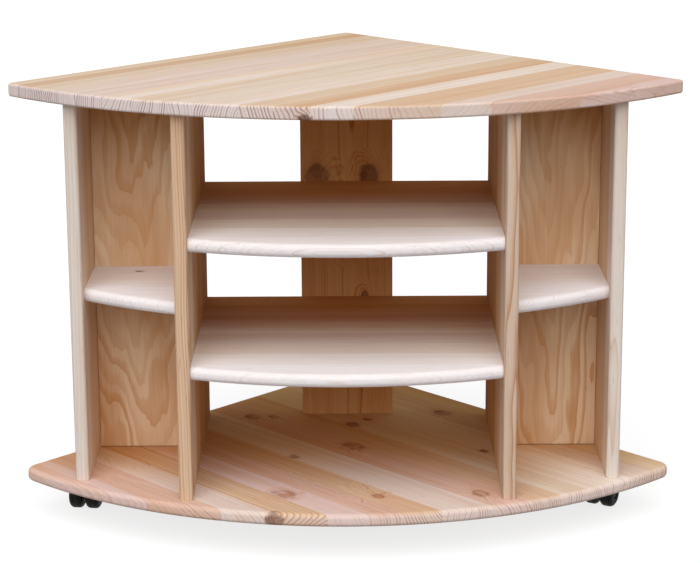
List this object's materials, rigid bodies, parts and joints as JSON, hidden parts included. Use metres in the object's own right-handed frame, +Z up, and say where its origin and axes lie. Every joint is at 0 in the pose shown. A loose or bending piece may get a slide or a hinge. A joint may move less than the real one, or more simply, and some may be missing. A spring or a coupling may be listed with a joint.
{
  "type": "corner tv stand",
  "caption": "Quarter-round corner TV stand in clear pine: a top over a wide shelved centre bay and two narrow side bays, on a matching base with twin-wheel swivel castors.",
  "frame": {"origin": "on the floor, under the middle of the stand's bounding box", "axes": "+X across the stand to its right, as someone facing its bowed front sees it; +Y from the bowed front to the back corner; +Z up"},
  "size_m": [0.9, 0.6366, 0.61],
  "materials": {
    "pine_top": "edge-glued clear pine under satin lacquer",
    "pine_base": "edge-glued clear pine with knots under satin lacquer",
    "pine_upright": "clear pine under satin lacquer",
    "pine_shelf": "clear pine under satin lacquer",
    "pine_panel": "rotary-cut pine plywood, clear lacquer",
    "pine_plank": "knotty pine, clear lacquer",
    "zinc": "bright zinc plate",
    "steel": "plain bright steel",
    "black_hood": "moulded black nylon",
    "black_wheel": "hard black nylon"
  },
  "bodies": {
    "carcass": {"top_board": "pine_top", "base_board": "pine_base", "inner_upright_left": "pine_upright", "inner_upright_right": "pine_upright", "outer_upright_left": "pine_upright", "outer_upright_right": "pine_upright", "lower_shelf": "pine_shelf", "upper_shelf": "pine_shelf", "side_shelf_left": "pine_shelf", "side_shelf_right": "pine_shelf", "side_back_left": "pine_panel", "side_back_right": "pine_panel", "back_plank": "pine_plank", "screw_inner_upright_left_rear": "zinc", "screw_inner_upright_left_front": "zinc", "screw_inner_upright_right_rear": "zinc", "screw_inner_upright_right_front": "zinc", "screw_outer_upright_left_rear": "zinc", "screw_outer_upright_left_front": "zinc", "screw_outer_upright_right_rear": "zinc", "screw_outer_upright_right_front": "zinc", "screw_plank_foot_left": "zinc", "screw_plank_foot_right": "zinc", "screw_plank_lower_shelf_left": "zinc", "screw_plank_lower_shelf_right": "zinc", "screw_plank_upper_shelf_left": "zinc", "screw_plank_upper_shelf_right": "zinc", "castor_plate_front_left": "zinc", "castor_plate_front_right": "zinc", "castor_plate_back_left": "zinc", "castor_plate_back_right": "zinc", "castor_kingpin_front_left": "steel", "castor_kingpin_front_right": "steel", "castor_kingpin_back_left": "steel", "castor_kingpin_back_right": "steel"},
    "castor_front_left": {"castor_hood_front_left": "black_hood", "castor_axle_front_left": "steel"},
    "castor_front_right": {"castor_hood_front_right": "black_hood", "castor_axle_front_right": "steel"},
    "castor_back_left": {"castor_hood_back_left": "black_hood", "castor_axle_back_left": "steel"},
    "castor_back_right": {"castor_hood_back_right": "black_hood", "castor_axle_back_right": "steel"},
    "wheel_front_left_a": {"castor_wheel_front_left_a": "black_wheel"},
    "wheel_front_left_b": {"castor_wheel_front_left_b": "black_wheel"},
    "wheel_front_right_a": {"castor_wheel_front_right_a": "black_wheel"},
    "wheel_front_right_b": {"castor_wheel_front_right_b": "black_wheel"},
    "wheel_back_left_a": {"castor_wheel_back_left_a": "black_wheel"},
    "wheel_back_left_b": {"castor_wheel_back_left_b": "black_wheel"},
    "wheel_back_right_a": {"castor_wheel_back_right_a": "black_wheel"},
    "wheel_back_right_b": {"castor_wheel_back_right_b": "black_wheel"}
  },
  "joints": [
    {"name": "swivel_front_left", "type": "hinge", "parent": "carcass", "child": "castor_front_left", "pos_m": [-0.36605, -0.09189, 0.042], "axis": [0, 0, 1], "continuous": true},
    {"name": "swivel_front_right", "type": "hinge", "parent": "carcass", "child": "castor_front_right", "pos_m": [0.36605, -0.09189, 0.042], "axis": [0, 0, 1], "continuous": true},
    {"name": "swivel_back_left", "type": "hinge", "parent": "carcass", "child": "castor_back_left", "pos_m": [-0.095, 0.15666, 0.042], "axis": [0, 0, 1], "continuous": true},
    {"name": "swivel_back_right", "type": "hinge", "parent": "carcass", "child": "castor_back_right", "pos_m": [0.095, 0.15666, 0.042], "axis": [0, 0, 1], "continuous": true},
    {"name": "roll_front_left_a", "type": "hinge", "parent": "castor_front_left", "child": "wheel_front_left_a", "pos_m": [-0.36855, -0.10972, 0.01975], "axis": [0.9903, -0.1392, 0], "continuous": true},
    {"name": "roll_front_left_b", "type": "hinge", "parent": "castor_front_left", "child": "wheel_front_left_b", "pos_m": [-0.36855, -0.10972, 0.01975], "axis": [0.9903, -0.1392, 0], "continuous": true},
    {"name": "roll_front_right_a", "type": "hinge", "parent": "castor_front_right", "child": "wheel_front_right_a", "pos_m": [0.3576, -0.10779, 0.01975], "axis": [0.8829, -0.4695, 0], "continuous": true},
    {"name": "roll_front_right_b", "type": "hinge", "parent": "castor_front_right", "child": "wheel_front_right_b", "pos_m": [0.3576, -0.10779, 0.01975], "axis": [0.8829, -0.4695, 0], "continuous": true},
    {"name": "roll_back_left_a", "type": "hinge", "parent": "castor_back_left", "child": "wheel_back_left_a", "pos_m": [-0.09688, 0.17456, 0.01975], "axis": [-0.9945, -0.1045, 0], "continuous": true},
    {"name": "roll_back_left_b", "type": "hinge", "parent": "castor_back_left", "child": "wheel_back_left_b", "pos_m": [-0.09688, 0.17456, 0.01975], "axis": [-0.9945, -0.1045, 0], "continuous": true},
    {"name": "roll_back_right_a", "type": "hinge", "parent": "castor_back_right", "child": "wheel_back_right_a", "pos_m": [0.09688, 0.17456, 0.01975], "axis": [-0.9945, 0.1045, 0], "continuous": true},
    {"name": "roll_back_right_b", "type": "hinge", "parent": "castor_back_right", "child": "wheel_back_right_b", "pos_m": [0.09688, 0.17456, 0.01975], "axis": [-0.9945, 0.1045, 0], "continuous": true}
  ]
}
